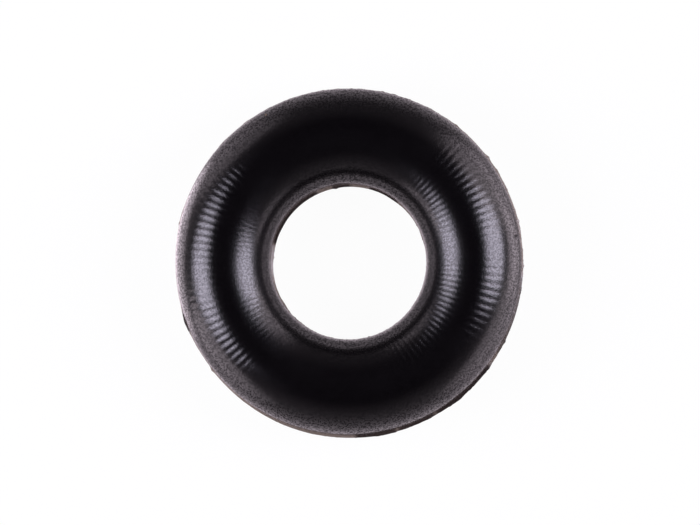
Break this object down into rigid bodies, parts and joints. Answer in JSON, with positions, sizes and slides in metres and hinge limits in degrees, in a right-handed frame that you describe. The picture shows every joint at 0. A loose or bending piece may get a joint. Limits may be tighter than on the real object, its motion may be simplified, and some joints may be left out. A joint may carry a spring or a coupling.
{
  "type": "o-ring",
  "caption": "Round moulded rubber sealing ring with a circular section, a thin flash line and a slight step where the mould halves met.",
  "frame": {"origin": "centre of the ring, on the plane where the two mould halves met", "axes": "+Z along the ring's axis, away from the surface it lies on; the lower half has shifted towards +X and -Y"},
  "size_m": [0.0066, 0.0066, 0.0018],
  "materials": {
    "black_rubber": "black moulded rubber, satin, with fine radial tool marks and grain"
  },
  "bodies": {
    "root": {"o_ring": "black_rubber"}
  },
  "joints": []
}
